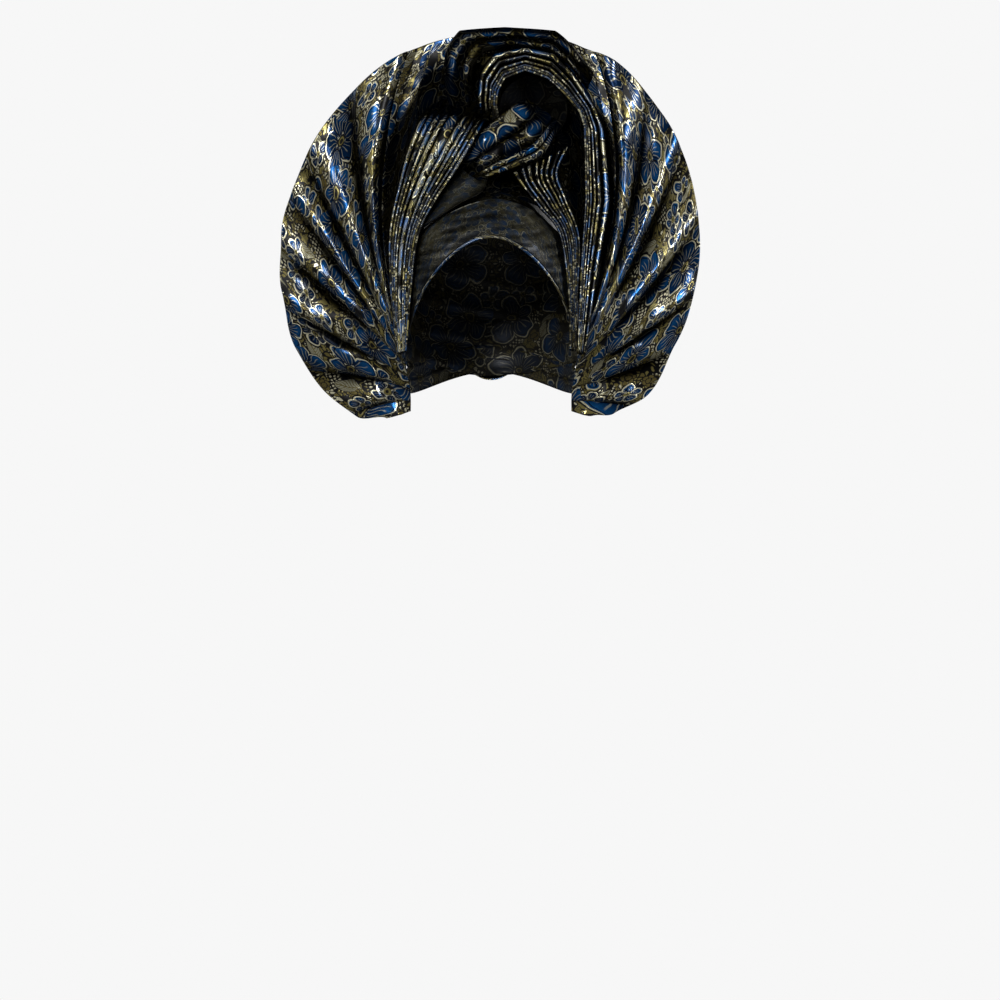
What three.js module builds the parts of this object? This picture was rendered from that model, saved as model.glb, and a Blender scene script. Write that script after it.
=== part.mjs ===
// Tied gele head tie of stiff brocade: a fitted head wrap, two folded wings that make a round fan,
// three bundles of fine pleats, a swirled rosette, and the tie and knot behind the head.
// Millimetres, +Z up, the face looks along -Y. The origin is the middle of the head at the brow.
import * as THREE from "three";
import { mergeVertices } from "three/addons/utils/BufferGeometryUtils.js";

// Driving sizes
const HEAD = { halfWidth: 76, halfLength: 98, rise: 98 }; // outside of the fitted wrap
const WALL = 1.2; // cloth, with its turned-in layers
const GAP = 0.3; // between pieces that lie on each other
const MAX_WALL_DEPTH = 2.8; // a steep pleat side measured along the view

// The opening of the wrap: an arch over the forehead, then round the ears to the nape
const OPENING = { spring: -75, arch: 124, archPower: 1.1, ear: -50, napeDrop: 12 };

// The dish that the fan follows: its depth eases from the brow back to the rim
const DISH = { farY: 55, reach: 121, start: 0.75, ease: 0.91 };
const LOBE = { back: 60, top: -5, drop: 80, fade: 1.2 }; // behind the ear lobes it lies further back
const BROW_CLEAR = 3.5; // pleats stay this far outside the wrap
const BROW_BLEND = 8; // rounding where the pleats leave the wrap for the dish

// Outline of the fan seen from the front: degrees from straight up, and distance from its centre
const FAN_CENTRE_Z = 55;
const RIM = [
  { angle: -160, radius: 157.5 },
  { angle: -150, radius: 179 },
  { angle: -143, radius: 192 },
  { angle: -132, radius: 194.5 },
  { angle: -120, radius: 192.5 },
  { angle: -105, radius: 185 },
  { angle: -90, radius: 179.5 },
  { angle: -70, radius: 173 },
  { angle: -50, radius: 171.5 },
  { angle: -25, radius: 174.5 },
  { angle: 0, radius: 174.5 },
  { angle: 25, radius: 181 },
  { angle: 35, radius: 184.5 },
  { angle: 55, radius: 180.5 },
  { angle: 80, radius: 178 },
  { angle: 100, radius: 179.5 },
  { angle: 120, radius: 182.5 },
  { angle: 135, radius: 190.5 },
  { angle: 145, radius: 184 },
  { angle: 152, radius: 173 },
  { angle: 160, radius: 159.5 },
];

// Wing folds from the lower hem to the top. A row is one fold's ridge, from its root by way of its
// middle to the rim, with the height that the ridge stands forward. A row without height lies flat,
// and a sunk row lies further back than the dish. The crease below a ridge is at a share of the way up
// from the ridge before it.
const LEFT_FOLDS = [
  { fold: "hem", rootX: -73, rootZ: -94, midX: -81, midZ: -98, rim: -150, height: 3, crease: 0.5 },
  { fold: "lobe", rootX: -73, rootZ: -82, midX: -100, midZ: -84, rim: -139, height: 9, crease: 0.75 },
  { fold: "low", rootX: -73, rootZ: -72, midX: -115, midZ: -58, rim: -122, height: 11, crease: 0.75 },
  { fold: "cheek", rootX: -74, rootZ: -62, midX: -126, midZ: -29, rim: -105.5, height: 12, crease: 0.75 },
  { fold: "side", rootX: -75.5, rootZ: -53, midX: -124, midZ: 2, rim: -90, height: 12, crease: 0.75 },
  { fold: "mid", rootX: -76.2, rootZ: -47, midX: -121, midZ: 24, rim: -75, height: 12, crease: 0.75 },
  { fold: "upper", rootX: -76.4, rootZ: -41, midX: -112, midZ: 50, rim: -58, height: 14, crease: 0.5 },
  { fold: "tall", rootX: -77, rootZ: -34, midX: -100, midZ: 88, rim: -30, height: 15, crease: 0.5 },
  { fold: "tuck", rootX: -77, rootZ: -16, midX: -86, midZ: 100, rim: -21, sunk: 8, crease: 0.5 },
  { fold: "temple", rootX: -67.5, rootZ: 46, midX: -72, midZ: 130, rim: -17, sunk: 5, crease: 0.5 },
  { fold: "behind", rootX: -44.5, rootZ: 84, midX: -52, midZ: 168, rim: -13, sunk: 4, crease: 0.5 },
  { fold: "top", rootX: 8, rootZ: 91.5, midX: 14, midZ: 172, rim: 9, crease: 0.5 },
];
const RIGHT_FOLDS = [
  { fold: "hem", rootX: 73, rootZ: -94, midX: 83, midZ: -98, rim: 150, height: 3, crease: 0.5 },
  { fold: "lobe", rootX: 73, rootZ: -82, midX: 104, midZ: -82, rim: 137, height: 10, crease: 0.75 },
  { fold: "low", rootX: 73, rootZ: -72, midX: 115, midZ: -54, rim: 118, height: 11, crease: 0.75 },
  { fold: "cheek", rootX: 74, rootZ: -62, midX: 124, midZ: -26, rim: 103, height: 12, crease: 0.75 },
  { fold: "side", rootX: 75.5, rootZ: -53, midX: 127, midZ: 10, rim: 81, height: 13, crease: 0.75 },
  { fold: "upper", rootX: 76.3, rootZ: -43, midX: 120, midZ: 44, rim: 60, height: 14, crease: 0.75 },
  { fold: "tall", rootX: 77, rootZ: -34, midX: 111, midZ: 84, rim: 35, height: 12, crease: 0.5 },
  { fold: "tuck", rootX: 77, rootZ: -16, midX: 101, midZ: 104, rim: 26, sunk: 5, crease: 0.5 },
  { fold: "temple", rootX: 67, rootZ: 46, midX: 86, midZ: 132, rim: 21, sunk: 5, crease: 0.5 },
  { fold: "behind", rootX: 45, rootZ: 82, midX: 62, midZ: 164, rim: 15, sunk: 3, crease: 0.5 },
  { fold: "top", rootX: -4, rootZ: 95, midX: 4, midZ: 172, rim: 2, sunk: 6, crease: 0.5 },
];

// Fine pleat bundles. A row is one guide line of the bundle, named stations from the ear to the tip.
// The lift is how far the guide stands forward of the dish, at even stations from root to tip.
const LEFT_GUIDES = [
  { guide: "outer", root: [-80, -46], ear: [-85, 8], temple: [-86, 57], shoulder: [-78, 98],
    crown: [-69, 133], tip: [-55, 162], lift: [6, 7, 12, 12] },
  { guide: "middle", root: [-76, -46], ear: [-78, 9], temple: [-75, 51], shoulder: [-65, 88],
    crown: [-46, 130], tip: [-26, 163], lift: [5, 8, 16, 30] },
  { guide: "inner", root: [-71.5, -45], ear: [-66.5, 8], temple: [-61, 52], shoulder: [-46, 83],
    crown: [-26, 113], tip: [5, 163], lift: [4, 7, 14, 40] },
];
const INNER_GUIDES = [
  { guide: "outer", root: [71.4, -45], ear: [73.2, 8], temple: [75, 52], shoulder: [64, 86],
    kink: [58, 108], tip: [68, 132], lift: [3.5, 5, 9] },
  { guide: "middle", root: [69, -45], ear: [69, 8], temple: [67, 53], shoulder: [53, 81],
    kink: [42, 101], tip: [42, 117], lift: [3.5, 5, 9] },
  { guide: "inner", root: [66.5, -44], ear: [65, 6], temple: [57, 54], shoulder: [41, 75],
    kink: [26, 93], tip: [17, 106], lift: [3.5, 5, 9] },
];
// The right bundle climbs from the ear, kinks at the elbow, and hooks over the rosette's hollow.
const HOOK_GUIDES = [
  { guide: "outer", root: [80, -47], waist: [91, 25], shoulder: [102, 85], kink: [97, 145],
    elbow: [89, 166], slope: [72, 193], corner: [54, 212], top: [29, 217], turn: [3, 212],
    side: [-10, 195], fall: [-12, 172], end: [-10, 150], lift: [8, 11, 18, 18, 18] },
  { guide: "inner", root: [73, -47], waist: [75.5, 25], shoulder: [79.5, 85], kink: [79, 146],
    elbow: [75, 160], slope: [62, 175], corner: [48, 188], top: [29, 195], turn: [12, 188],
    side: [6, 176], fall: [5, 165], end: [7, 153], lift: [5, 8, 17, 17, 17] },
];
const CREST_GUIDES = [
  { guide: "outer", right: [88, 194], slope: [70, 218], corner: [55, 231], top: [12, 234],
    shoulder: [-27, 231], turn: [-39, 214], edge: [-41, 190], end: [-36, 166], lift: [11.7, 11.7] },
  { guide: "inner", right: [82, 180], slope: [66, 201], corner: [48, 213], top: [18, 216],
    shoulder: [-6, 212], turn: [-15, 199], edge: [-16, 178], end: [-13, 157], lift: [11.7, 11.7] },
];
const TONGUE_GUIDES = [
  { guide: "upper", root: [-24, 122], rise: [-9, 142], reach: [9, 157], tip: [29, 170],
    lift: [12.6, 24, 27.5, 18.5] },
  { guide: "middle", root: [-14, 112], rise: [9, 128], reach: [30, 141], tip: [47, 160],
    lift: [11.6, 24, 26.5, 18.5] },
  { guide: "lower", root: [-4, 103], rise: [21, 110], reach: [44, 121], tip: [60, 149],
    lift: [10.6, 23, 25.5, 20] },
];
const UNDER_GUIDES = [
  { guide: "hidden", root: [-66, 56], rise: [-54, 74], reach: [-35, 99], tip: [-14, 131],
    lift: [4.4, 5.4, 7.4, 9.5] },
  { guide: "edge", root: [-58, 59], rise: [-27, 79], reach: [-6, 92], tip: [-1, 123],
    lift: [4.4, 5.4, 7.4, 9] },
];

// Counts, heights and steps of each folded piece
const LEFT_PLEATS = { folds: 10, height: [1, 5, 8, 3], along: 12 };
const INNER_PLEATS = { folds: 8, height: [0.8, 5.5, 6], along: 10 };
const HOOK_PLEATS = { folds: 6, height: [0.9, 8, 5.5], along: 19 };
const CREST_PLEATS = { folds: 2, height: [4.5, 5, 4.5], along: 16 };
const UNDER_FOLD = { folds: 1, height: [0, 0, 0], along: 8 };
const TONGUE_PLEATS = { folds: 3, height: [3, 7, 2], along: 10 };
const WING_RISE = [0.05, 0.3, 0.85, 1, 0.75, 0.5]; // share of a fold's height from its root to the rim
const WING_SINK = { depth: 2.5, until: 0.35 }; // the roots lie behind the bundles
const WING_STEPS = { perFold: 4, along: 9 };

// The bowl behind the rosette's hollow
const CUP = { centre: [36, 163], half: [29, 28.5], lift: 12.4, deep: 9, around: 28, rings: 4 };

// The turned band on the brow: how high its upper edge lies, by degrees round the head
const BROW_EDGE = [
  { angle: -66, top: 58 },
  { angle: -54, top: 65 },
  { angle: -35, top: 74 },
  { angle: -13, top: 81 },
  { angle: 10, top: 83 },
  { angle: 40, top: 75 },
  { angle: 64, top: 54 },
];
const BROW = { lowAbove: 3, steps: 28, ribs: 2, ribHeight: 0.8, gap: 0.8 };

// The tie round the back of the head and its knot
const TIE = { from: 112, to: 248, endZ: -62, backZ: -42, halfHeight: 17, ribs: 3, ribHeight: 2,
  along: 30 };
const KNOT = { halfTurn: 17, halfHeight: 24, depth: 17, edge: 3, around: 14, up: 12, waist: 0.2 };

const clamp01 = (t) => Math.min(1, Math.max(0, t));
const mix = (a, b, t) => a + (b - a) * t;
const smooth = (t) => clamp01(t) ** 2 * (3 - 2 * clamp01(t));
const degrees = THREE.MathUtils.degToRad;
const scallop = (f) => 1 - (2 * f - 1) ** 2; // a full fold with a sharp crease on either side
const knife = (f) => 1 - Math.abs(2 * f - 1); // a pressed pleat
// A value that is given at evenly spaced stations of a run, from its start to its end.
function runs(values, t) {
  const at = t * (values.length - 1);
  const k = Math.min(values.length - 2, Math.floor(at));
  return mix(values[k], values[k + 1], smooth(at - k));
}

// How far the head's outline lies from a point seen from the front: 1 on the outline.
function headShare(x, z, grow = 0) {
  const rise = z > 0 ? z / (HEAD.rise + grow) : 0;
  return Math.hypot(x / (HEAD.halfWidth + grow), rise);
}

// Depth of the bare dish at a point seen from the front.
function dishY(x, z) {
  const away = Math.hypot(x / HEAD.halfWidth, z / HEAD.rise);
  const lobe = LOBE.back * smooth((LOBE.top - z) / LOBE.drop) * Math.exp((1 - away) / LOBE.fade);
  return DISH.farY - DISH.reach * Math.exp((DISH.start - away) / DISH.ease) + lobe;
}

// Depth that cloth lies on: the dish, or the brow of the wrap where that is further forward.
function baseY(x, z) {
  const dish = dishY(x, z);
  const share = headShare(x, z, BROW_CLEAR);
  if (share >= 1) return dish;
  const brow = -(HEAD.halfLength + BROW_CLEAR) * Math.sqrt(1 - share * share);
  const part = clamp01(0.5 + (dish - brow) / (2 * BROW_BLEND));
  return mix(dish, brow, part) - BROW_BLEND * part * (1 - part);
}

// A point of the wrap's outside, round the head by angle from the front and up by height.
function wrapPoint(angle, z, out = 0) {
  const share = z > 0 ? Math.sqrt(Math.max(0, 1 - (z / (HEAD.rise + out)) ** 2)) : 1;
  return new THREE.Vector3(
    (HEAD.halfWidth + out) * share * Math.sin(angle),
    -(HEAD.halfLength + out) * share * Math.cos(angle),
    z,
  );
}

function openingZ(angle) {
  const front = Math.cos(angle);
  if (front > 0) return Math.max(OPENING.ear, OPENING.spring + OPENING.arch * front ** OPENING.archPower);
  return OPENING.ear - OPENING.napeDrop * front * front;
}

function rimPoint(angle) {
  const next = Math.max(1, RIM.findIndex((row) => row.angle >= angle));
  const [low, high] = [RIM[next - 1], RIM[next]];
  const radius = mix(low.radius, high.radius, smooth((angle - low.angle) / (high.angle - low.angle)));
  const turn = degrees(angle);
  return [radius * Math.sin(turn), FAN_CENTRE_Z + radius * Math.cos(turn)];
}

const curveThrough = (points) =>
  new THREE.CatmullRomCurve3(points.map(([x, z]) => new THREE.Vector3(x, 0, z)));

// A closed wall from two grids of points: the face, and the back behind it.
// ring joins the first column to the last.
function wallBetween(face, back, columns, rows, ring = false) {
  const positions = [];
  const quad = (a, b, c, d) => {
    for (const p of [a, b, c, a, c, d]) positions.push(p.x, p.y, p.z);
  };
  for (let i = 0; i < columns; i++) {
    for (let j = 0; j < rows; j++) {
      quad(face[i][j], face[i + 1][j], face[i + 1][j + 1], face[i][j + 1]);
      quad(back[i][j], back[i][j + 1], back[i + 1][j + 1], back[i + 1][j]);
    }
    quad(face[i][0], back[i][0], back[i + 1][0], face[i + 1][0]);
    quad(face[i][rows], face[i + 1][rows], back[i + 1][rows], back[i][rows]);
  }
  if (!ring) {
    for (let j = 0; j < rows; j++) {
      quad(face[0][j], face[0][j + 1], back[0][j + 1], back[0][j]);
      quad(face[columns][j], back[columns][j], back[columns][j + 1], face[columns][j + 1]);
    }
  }
  return outward(positions);
}

// The triangles as an indexed geometry that faces out, without the empty ones at a pole.
function outward(positions) {
  const loose = new THREE.BufferGeometry();
  loose.setAttribute("position", new THREE.Float32BufferAttribute(positions, 3));
  const geometry = mergeVertices(loose, 1e-3);
  const corner = (k) => new THREE.Vector3().fromBufferAttribute(geometry.attributes.position, k);
  const kept = [];
  let volume = 0;
  for (let k = 0; k < geometry.index.count; k += 3) {
    const [a, b, c] = [0, 1, 2].map((n) => geometry.index.getX(k + n));
    if (a === b || b === c || a === c) continue;
    kept.push([a, b, c]);
    volume += corner(a).dot(corner(b).cross(corner(c)));
  }
  geometry.setIndex(kept.flatMap(([a, b, c]) => (volume > 0 ? [a, b, c] : [a, c, b])));
  geometry.computeVertexNormals();
  return geometry;
}

// Two grids filled by a function that gives [face point, back point] at shares across and along.
function wallOf(columns, rows, pair, ring = false) {
  const grid = Array.from({ length: columns + 1 }, (_, i) =>
    Array.from({ length: rows + 1 }, (_, j) => pair(i / columns, j / rows)),
  );
  const side = (k) => grid.map((column) => column.map((point) => point[k]));
  return wallBetween(side(0), side(1), columns, rows, ring);
}

// Cloth that is folded across and stands forward. place gives a front-view point, lies the depth
// under it, stand how far forward of that the cloth is, and steepness the slope of a fold's side.
function foldedWall({ columns, rows, place, lies, stand, steepness }) {
  return wallOf(columns, rows, (s, t) => {
    const [x, z] = place(s, t);
    const y = lies(x, z) - stand(s, t);
    const depth = Math.min(MAX_WALL_DEPTH, WALL * Math.hypot(1, steepness(s, t)));
    return [new THREE.Vector3(x, y, z), new THREE.Vector3(x, y + depth, z)];
  });
}

// A bundle of pleats between guide lines: the lines give its place and lift, the pleats its folds.
function bundle(guides, stationsOf, { folds, height, along }, profile, perFold) {
  const curves = guides.map((row) => curveThrough(stationsOf(row)));
  const across = (values, s) => {
    const at = s * (values.length - 1);
    const k = Math.min(values.length - 2, Math.floor(at));
    return mix(values[k], values[k + 1], at - k);
  };
  const place = (s, t) => {
    const points = curves.map((curve) => curve.getPoint(t));
    return [across(points.map((p) => p.x), s), across(points.map((p) => p.z), s)];
  };
  const pitch = (s, t) => {
    const [near, far] = [place(Math.max(0, s - 0.05), t), place(Math.min(1, s + 0.05), t)];
    return Math.hypot(far[0] - near[0], far[1] - near[1]) / (0.1 * folds);
  };
  return foldedWall({
    columns: folds * perFold,
    rows: along,
    place,
    lies: baseY,
    stand: (s, t) => across(guides.map((row) => runs(row.lift, t)), s) +
      runs(height, t) * profile((s * folds) % 1),
    steepness: (s, t) => (2 * runs(height, t)) / Math.max(1, pitch(s, t)),
  });
}

// A wing: a row of the table is a ridge, and the cloth falls to a crease between two ridges.
function wing(rows) {
  const lines = rows.map((row) =>
    curveThrough([[row.rootX, row.rootZ], [row.midX, row.midZ], rimPoint(row.rim)]),
  );
  const last = rows.length - 1;
  const { perFold, along } = WING_STEPS;
  const between = (s, value) => {
    const at = s * last;
    const k = Math.min(last - 1, Math.floor(at));
    return mix(value(k), value(k + 1), at - k);
  };
  const place = (s, t) => {
    const points = lines.map((line) => line.getPoint(t));
    return [between(s, (k) => points[k].x), between(s, (k) => points[k].z)];
  };
  const stand = (s, t) => {
    const k = Math.min(last - 1, Math.floor(s * last));
    const [below, above, up] = [rows[k], rows[k + 1], s * last - k];
    const { crease } = above;
    const full = up < crease
      ? (below.height ?? 0) * (1 - (up / crease) ** 2)
      : (above.height ?? 0) * (1 - ((1 - up) / (1 - crease)) ** 2);
    const rootSink = WING_SINK.depth * (1 - smooth(t / WING_SINK.until));
    return full * runs(WING_RISE, t) - rootSink - between(s, (n) => rows[n].sunk ?? 0);
  };
  const columns = last * perFold;
  return foldedWall({ columns, rows: along, place, lies: dishY, stand, steepness: () => 1 });
}

const stations = (...names) => (row) => names.map((name) => row[name]);
function headWrap() {
  const [columns, rows] = [40, 8];
  return wallOf(columns, rows, (s, t) => {
    const angle = 2 * Math.PI * s;
    const low = openingZ(angle);
    const lift = Math.sin((t * Math.PI) / 2);
    const inside = HEAD.rise - WALL;
    return [
      wrapPoint(angle, t === 1 ? HEAD.rise : mix(low, HEAD.rise, lift)),
      wrapPoint(angle, t === 1 ? inside : mix(low, inside, lift), -WALL),
    ];
  }, true);
}

function browFold() {
  const { lowAbove, steps, ribs, ribHeight, gap } = BROW;
  const edge = curveThrough(BROW_EDGE.map((row) => [row.angle, row.top]));
  return wallOf(steps, 2 * ribs, (s, t) => {
    const { x, z: top } = edge.getPoint(s);
    const angle = degrees(x);
    const z = mix(openingZ(angle) + lowAbove, top, t);
    const out = gap + WALL + ribHeight * knife((t * ribs) % 1);
    return [wrapPoint(angle, z, out), wrapPoint(angle, z, gap)];
  });
}

function rosetteCup() {
  const { centre, half, lift, deep, around, rings } = CUP;
  return wallOf(around, rings, (s, t) => {
    const turn = 2 * Math.PI * s;
    const x = centre[0] + half[0] * (1 - t) * Math.cos(turn);
    const z = centre[1] + half[1] * (1 - t) * Math.sin(turn);
    const y = baseY(x, z) - lift + deep * (1 - (1 - t) ** 2);
    return [new THREE.Vector3(x, y, z), new THREE.Vector3(x, y + WALL, z)];
  }, true);
}

// Height of the tie's middle line round the back of the head.
function tieZ(angle) {
  const fromBack = Math.abs(angle - 180) / ((TIE.to - TIE.from) / 2);
  return mix(TIE.backZ, TIE.endZ, smooth(fromBack));
}

function backTie() {
  const { from, to, halfHeight, ribs, ribHeight, along } = TIE;
  return wallOf(2 * ribs, along, (s, t) => {
    const angle = mix(from, to, t);
    const z = tieZ(angle) + mix(-halfHeight, halfHeight, s);
    const out = GAP + WALL + ribHeight * knife((s * ribs) % 1);
    return [wrapPoint(degrees(angle), z, out), wrapPoint(degrees(angle), z, GAP)];
  });
}

function backKnot() {
  const { halfTurn, halfHeight, depth, edge, around, up, waist } = KNOT;
  const seat = GAP + WALL + TIE.ribHeight + GAP;
  return wallOf(around, up, (s, t) => {
    const [u, v] = [2 * s - 1, 2 * t - 1];
    const narrow = 1 - waist * (1 - v * v);
    const angle = degrees(180 + halfTurn * u * narrow * Math.sqrt(1 - (v * v) / 2));
    const z = TIE.backZ + halfHeight * v * Math.sqrt(1 - (u * u) / 2);
    const bulge = Math.sqrt((1 - u * u) * (1 - v * v));
    return [wrapPoint(angle, z, seat + edge + (depth - edge) * bulge), wrapPoint(angle, z, seat)];
  });
}

const brocade = new THREE.MeshStandardMaterial({ color: 0x2a2a24, roughness: 0.35, metalness: 0.5 });
const goldBrocade = new THREE.MeshStandardMaterial({ color: 0x4a4528, roughness: 0.35, metalness: 0.6 });
const plainWeave = new THREE.MeshStandardMaterial({ color: 0x17191c, roughness: 0.5, metalness: 0.3 });

const gele = new THREE.Group();
function add(name, geometry, material) {
  const mesh = new THREE.Mesh(geometry, material);
  mesh.name = name;
  gele.add(mesh);
}

const hookStations = stations(
  "root", "waist", "shoulder", "kink", "elbow", "slope", "corner", "top", "turn", "side", "fall", "end",
);
const crestStations = stations("right", "slope", "corner", "top", "shoulder", "turn", "edge", "end");
const bundleStations = stations("root", "ear", "temple", "shoulder", "crown", "tip");
const innerStations = stations("root", "ear", "temple", "shoulder", "kink", "tip");
const tuckStations = stations("root", "rise", "reach", "tip");

add("head_wrap", headWrap(), plainWeave);
add("brow_fold", browFold(), plainWeave);
add("left_wing", wing(LEFT_FOLDS), goldBrocade);
add("right_wing", wing(RIGHT_FOLDS), goldBrocade);
add("left_pleats", bundle(LEFT_GUIDES, bundleStations, LEFT_PLEATS, knife, 2), brocade);
add("inner_pleats", bundle(INNER_GUIDES, innerStations, INNER_PLEATS, knife, 2), plainWeave);
add("right_pleats", bundle(HOOK_GUIDES, hookStations, HOOK_PLEATS, knife, 2), brocade);
add("crest_fold", bundle(CREST_GUIDES, crestStations, CREST_PLEATS, scallop, 4), brocade);
add("rosette_tongue", bundle(TONGUE_GUIDES, tuckStations, TONGUE_PLEATS, scallop, 4), goldBrocade);
add("rosette_cup", rosetteCup(), plainWeave);
add("under_fold", bundle(UNDER_GUIDES, tuckStations, UNDER_FOLD, scallop, 3), plainWeave);
add("back_tie", backTie(), brocade);
add("back_knot", backKnot(), brocade);

export default gele;
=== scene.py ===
import bpy
import numpy as np
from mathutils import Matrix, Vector


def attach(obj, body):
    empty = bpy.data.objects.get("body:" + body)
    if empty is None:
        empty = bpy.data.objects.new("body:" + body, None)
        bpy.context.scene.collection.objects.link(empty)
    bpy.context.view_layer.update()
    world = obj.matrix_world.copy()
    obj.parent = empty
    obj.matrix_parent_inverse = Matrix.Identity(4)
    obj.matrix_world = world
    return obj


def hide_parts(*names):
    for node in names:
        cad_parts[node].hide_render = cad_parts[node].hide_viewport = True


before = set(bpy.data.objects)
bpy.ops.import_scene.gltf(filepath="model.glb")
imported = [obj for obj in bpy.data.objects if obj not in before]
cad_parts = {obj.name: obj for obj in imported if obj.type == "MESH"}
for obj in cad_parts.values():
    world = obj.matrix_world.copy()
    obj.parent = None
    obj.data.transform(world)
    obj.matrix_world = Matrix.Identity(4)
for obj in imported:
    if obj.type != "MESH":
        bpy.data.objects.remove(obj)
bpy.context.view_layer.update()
print("frame loaded:", len(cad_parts), "nodes")

mm = 0.001   # tables below are in millimetres, as in the part's source
wall = 0.9   # cloth with its turned-in layer

head = dict(halfWidth=76, halfLength=98, rise=98)   # outside of the fitted wrap
dish = dict(farY=55, reach=121, start=0.75, ease=0.91)   # the bowl that the fan follows
lobe = dict(back=60, top=-5, drop=80, fade=1.2)   # the fan lies further back behind the ears
brow = dict(clear=3.5, blend=8)   # pleats stay outside the wrap
opening = dict(low=-75, arch=124, curve=1.1, ears=-50, nape=12)   # heights of the wrap's lower edge


def smooth(t):
    t = np.clip(t, 0, 1)
    return t * t * (3 - 2 * t)


def mix(a, b, t):
    return a + (b - a) * t


def runs(values, t):   # values at even stations of a run, eased from one to the next
    values = np.asarray(values, float)
    at = np.clip(t, 0, 1) * (len(values) - 1)
    k = np.clip(np.floor(at).astype(int), 0, len(values) - 2)
    return mix(values[k], values[k + 1], smooth(at - k))


def spline(values, at):   # Catmull-Rom through values[0], values[1], ... at fractional row numbers
    values = np.asarray(values, float)
    last = len(values) - 1
    k = np.clip(np.floor(at).astype(int), 0, last - 1)
    f = (at - k).reshape(at.shape + (1,) * (values.ndim - 1))
    p1, p2 = values[k], values[k + 1]
    p0 = np.where((k == 0).reshape(f.shape), 2 * p1 - p2, values[np.maximum(k - 1, 0)])
    p3 = np.where((k == last - 1).reshape(f.shape), 2 * p2 - p1, values[np.minimum(k + 2, last)])
    return 0.5 * (2 * p1 + (p2 - p0) * f + (2 * p0 - 5 * p1 + 4 * p2 - p3) * f**2
                  + (3 * p1 - p0 - 3 * p2 + p3) * f**3)


def ripple(a, b, size, seed):   # soft unevenness: five sine waves of mixed directions, about -1 to 1
    total = 0
    for n in range(5):
        turn = seed * 1.7 + n * 2.4
        wave = (0.7 + 0.25 * n) * 6.28 / size
        total = total + np.sin((a * np.cos(turn) + b * np.sin(turn)) * wave + seed * 3.1 + n * n)
    return total / 3.2


def dishY(x, z):   # farY - reach * e^((start - away) / ease), pushed back behind the ear lobes
    away = np.hypot(x / head["halfWidth"], z / head["rise"])
    behind = lobe["back"] * smooth((lobe["top"] - z) / lobe["drop"]) * np.exp((1 - away) / lobe["fade"])
    return dish["farY"] - dish["reach"] * np.exp((dish["start"] - away) / dish["ease"]) + behind


def baseY(x, z):   # the dish, or the brow of the wrap where that is further forward, with a round join
    flat = dishY(x, z)
    grow = brow["clear"]
    share = np.hypot(x / (head["halfWidth"] + grow), np.maximum(z, 0) / (head["rise"] + grow))
    front = -(head["halfLength"] + grow) * np.sqrt(np.maximum(0, 1 - share**2))
    part = np.where(share < 1, np.clip(0.5 + (flat - front) / (2 * brow["blend"]), 0, 1), 0)
    return mix(flat, front, part) - brow["blend"] * part * (1 - part)


def wrapPoint(angle, z, out=0):   # the wrap's outside: an ellipse below the brow, an ellipsoid above it
    rise = head["rise"] + out
    share = np.where(z > 0, np.sqrt(np.maximum(0, 1 - (np.maximum(z, 0) / rise)**2)), 1)
    return np.stack([(head["halfWidth"] + out) * share * np.sin(angle),
                     -(head["halfLength"] + out) * share * np.cos(angle), z + 0 * angle], -1)


def openingZ(angle):   # an arch over the forehead, level at the ears, lower at the nape
    front = np.cos(angle)
    o = opening
    arch = np.maximum(o["ears"], o["low"] + o["arch"] * np.maximum(front, 0)**o["curve"])
    return np.where(front > 0, arch, o["ears"] - o["nape"] * front**2)


def clothMesh(name, points, foldOf, uvOf, depth, material, ring=False, pole=False):
    # A sheet from a grid of points in millimetres. foldOf is each column strip's fold number, uvOf gives
    # a corner's cloth position from its fold, and depth is painted shade, kept in the fold attribute: 0
    # darkest, as in a crease, 1 unshaded, as on a ridge.
    nu, nv = points.shape[:2]
    i, j = np.meshgrid(np.arange(nu - 1), np.arange(nv - (2 if pole else 1)), indexing="ij")
    quads = np.stack([i, j, i + 1, j, i + 1, j + 1, i, j + 1], -1).reshape(-1, 4, 2)
    k = np.arange(nu - 1 if pole else 0)
    fan = np.stack([k, 0 * k + nv - 2, k + 1, 0 * k + nv - 2, k, 0 * k + nv - 1], -1).reshape(-1, 3, 2)
    corners = np.concatenate([quads.reshape(-1, 2), fan.reshape(-1, 2)])
    starts = np.concatenate([np.arange(len(quads)) * 4, quads.size // 2 + np.arange(len(fan)) * 3])
    strip = np.concatenate([np.repeat(foldOf[quads[:, 0, 0]], 4), np.repeat(foldOf[k], 3)])
    uv = uvOf(strip, corners[:, 0], corners[:, 1])
    index = np.arange(nu * nv).reshape(nu, nv)
    if ring:
        index[-1] = index[0]
    if pole:
        index[:, -1] = index[0, -1]
    used, compact = np.unique(index, return_inverse=True)
    index = compact.reshape(nu, nv)
    mesh = bpy.data.meshes.new(name)
    mesh.vertices.add(len(used))
    mesh.vertices.foreach_set("co", (points.reshape(-1, 3)[used] * mm).ravel())
    mesh.loops.add(len(corners))
    mesh.loops.foreach_set("vertex_index", index[corners[:, 0], corners[:, 1]])
    mesh.polygons.add(len(starts))
    mesh.polygons.foreach_set("loop_start", starts)
    mesh.update(calc_edges=True)
    mesh.uv_layers.new(name="cloth").data.foreach_set("uv", (uv * mm).ravel())
    # painted shade: depth goes into the fold attribute, which darkens the cloth's colour
    mesh.attributes.new("fold", "FLOAT", "POINT").data.foreach_set("value", depth.reshape(-1)[used])
    mesh.polygons.foreach_set("use_smooth", np.ones(len(mesh.polygons), bool))
    mesh.validate()
    mesh.materials.append(material)
    mesh.materials.append(reverseCloth)
    piece = bpy.data.objects.new(name, mesh)
    bpy.context.collection.objects.link(piece)
    shell = piece.modifiers.new("wall", "SOLIDIFY")
    shell.thickness = wall * mm
    shell.offset = -1
    shell.use_even_offset = False
    shell.material_offset = 1   # the cloth's dull back
    return piece


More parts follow.
